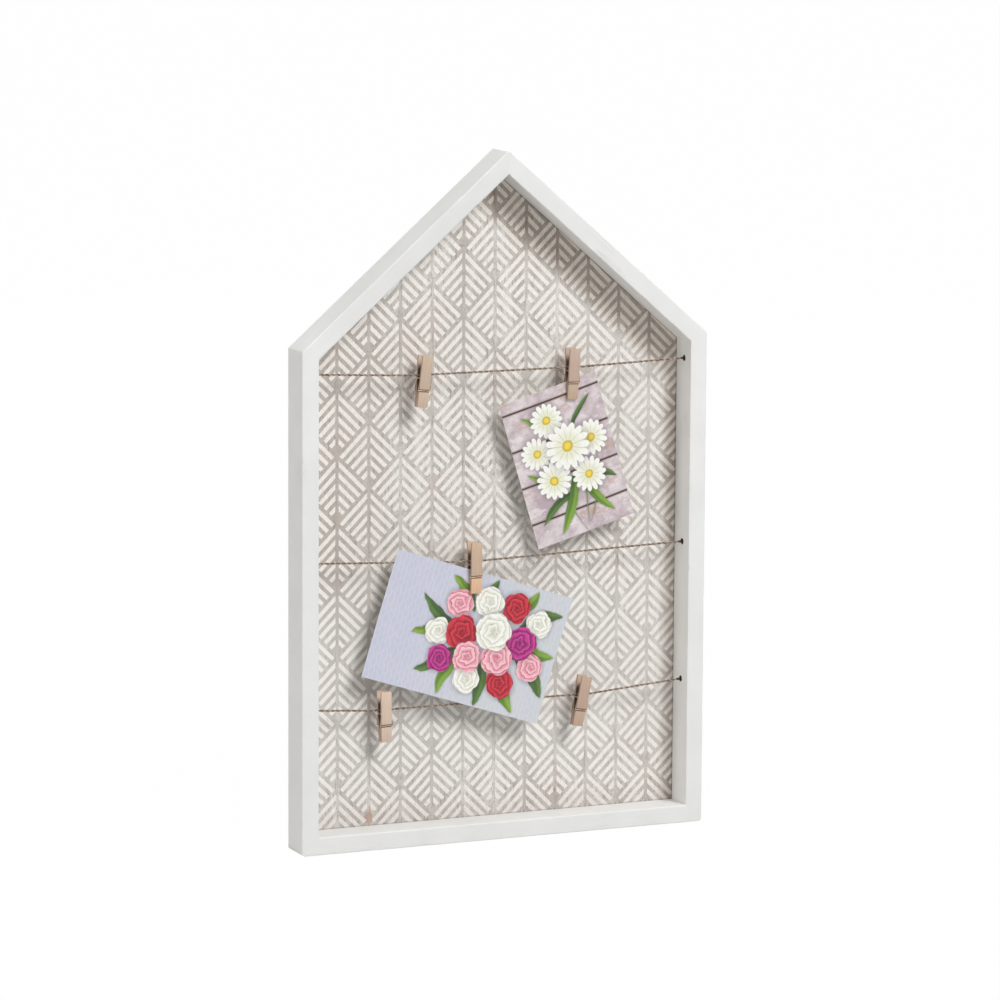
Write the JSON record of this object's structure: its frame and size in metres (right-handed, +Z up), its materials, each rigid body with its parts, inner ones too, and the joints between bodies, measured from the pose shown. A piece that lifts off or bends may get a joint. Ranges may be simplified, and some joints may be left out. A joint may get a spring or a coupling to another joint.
{
  "type": "wooden memo board",
  "caption": "House-shaped white wooden shadow-box memo board with a patterned back panel, twine lines strung across it, and sliding wooden spring pegs that hold picture cards.",
  "frame": {"origin": "on the standing surface, under the middle of the board's box", "axes": "+Z up from the bottom rail to the ridge, +X to the right seen from the front, the front faces -Y"},
  "size_m": [0.3, 0.0286, 0.4731],
  "materials": {
    "white_paint": "white painted softwood, slightly worn edges",
    "printed_board": "thin fibreboard with a printed leaf pattern in off-white on beige grey",
    "steel": "bright steel",
    "brass_plate": "brass-plated steel",
    "jute": "twisted natural jute",
    "glue": "clear yellowish glue",
    "peg_wood": "bare pale wood, fine straight grain",
    "spring_wire": "bare drawn steel wire",
    "photo_card": "printed card"
  },
  "bodies": {
    "frame": {"left_side_rail": "white_paint", "right_side_rail": "white_paint", "bottom_rail": "white_paint", "left_roof_rail": "white_paint", "right_roof_rail": "white_paint", "back_panel": "printed_board", "corner_nail_bottom_left": "steel", "corner_nail_left_eave": "steel", "corner_nail_apex": "steel", "corner_nail_right_eave": "steel", "corner_nail_bottom_right": "steel", "panel_pin_1": "steel", "panel_pin_2": "steel", "panel_pin_3": "steel", "panel_pin_4": "steel", "panel_pin_5": "steel", "panel_pin_6": "steel", "panel_pin_7": "steel", "panel_pin_8": "steel", "sawtooth_hanger": "brass_plate", "hanger_nail_left": "brass_plate", "hanger_nail_right": "brass_plate", "twine_top": "jute", "twine_middle": "jute", "twine_bottom": "jute", "glue_plug_top_left": "glue", "glue_plug_top_right": "glue", "glue_plug_middle_left": "glue", "glue_plug_middle_right": "glue", "glue_plug_bottom_left": "glue", "glue_plug_bottom_right": "glue"},
    "peg_1": {"peg_1_rear_prong": "peg_wood", "peg_1_spring": "spring_wire"},
    "peg_1_jaw": {"peg_1_front_prong": "peg_wood"},
    "peg_2": {"peg_2_rear_prong": "peg_wood", "peg_2_spring": "spring_wire", "card_portrait": "photo_card"},
    "peg_2_jaw": {"peg_2_front_prong": "peg_wood"},
    "peg_3": {"peg_3_rear_prong": "peg_wood", "peg_3_spring": "spring_wire", "card_landscape": "photo_card"},
    "peg_3_jaw": {"peg_3_front_prong": "peg_wood"},
    "peg_4": {"peg_4_rear_prong": "peg_wood", "peg_4_spring": "spring_wire"},
    "peg_4_jaw": {"peg_4_front_prong": "peg_wood"},
    "peg_5": {"peg_5_rear_prong": "peg_wood", "peg_5_spring": "spring_wire"},
    "peg_5_jaw": {"peg_5_front_prong": "peg_wood"}
  },
  "joints": [
    {"name": "peg_1_slide", "type": "slide", "parent": "frame", "child": "peg_1", "axis": [1, 0, 0], "range_m": [-0.065, 0.04]},
    {"name": "peg_1_jaw_hinge", "type": "hinge", "parent": "peg_1", "child": "peg_1_jaw", "pos_m": [-0.05813, -0.00453, 0.31959], "axis": [-0.9957, 0, 0.0924], "range_deg": [0, 20], "stiffness_Nm_per_rad": 0.04, "springref_deg": -51.57, "deforming": ["peg_1_spring"]},
    {"name": "peg_2_slide", "type": "slide", "parent": "frame", "child": "peg_2", "axis": [1, 0, 0], "range_m": [-0.02, 0.03]},
    {"name": "peg_2_jaw_hinge", "type": "hinge", "parent": "peg_2", "child": "peg_2_jaw", "pos_m": [0.0523, -0.00453, 0.31958], "axis": [-0.9996, 0, 0.0279], "range_deg": [0, 20], "stiffness_Nm_per_rad": 0.04, "springref_deg": -51.57, "deforming": ["peg_2_spring"]},
    {"name": "peg_3_slide", "type": "slide", "parent": "frame", "child": "peg_3", "axis": [1, 0, 0], "range_m": [-0.008, 0.015]},
    {"name": "peg_3_jaw_hinge", "type": "hinge", "parent": "peg_3", "child": "peg_3_jaw", "pos_m": [-0.01966, -0.00453, 0.18958], "axis": [-0.9999, 0, -0.0122], "range_deg": [0, 20], "stiffness_Nm_per_rad": 0.04, "springref_deg": -51.57, "deforming": ["peg_3_spring"]},
    {"name": "peg_4_slide", "type": "slide", "parent": "frame", "child": "peg_4", "axis": [1, 0, 0], "range_m": [-0.042, 0.005]},
    {"name": "peg_4_jaw_hinge", "type": "hinge", "parent": "peg_4", "child": "peg_4_jaw", "pos_m": [-0.0859, -0.00453, 0.09118], "axis": [-0.9996, 0, -0.0297], "range_deg": [0, 20], "stiffness_Nm_per_rad": 0.04, "springref_deg": -51.57, "deforming": ["peg_4_spring"]},
    {"name": "peg_5_slide", "type": "slide", "parent": "frame", "child": "peg_5", "axis": [1, 0, 0], "range_m": [-0.006, 0.04]},
    {"name": "peg_5_jaw_hinge", "type": "hinge", "parent": "peg_5", "child": "peg_5_jaw", "pos_m": [0.06088, -0.00453, 0.09123], "axis": [-0.9845, 0, 0.1754], "range_deg": [0, 20], "stiffness_Nm_per_rad": 0.04, "springref_deg": -51.57, "deforming": ["peg_5_spring"]}
  ]
}
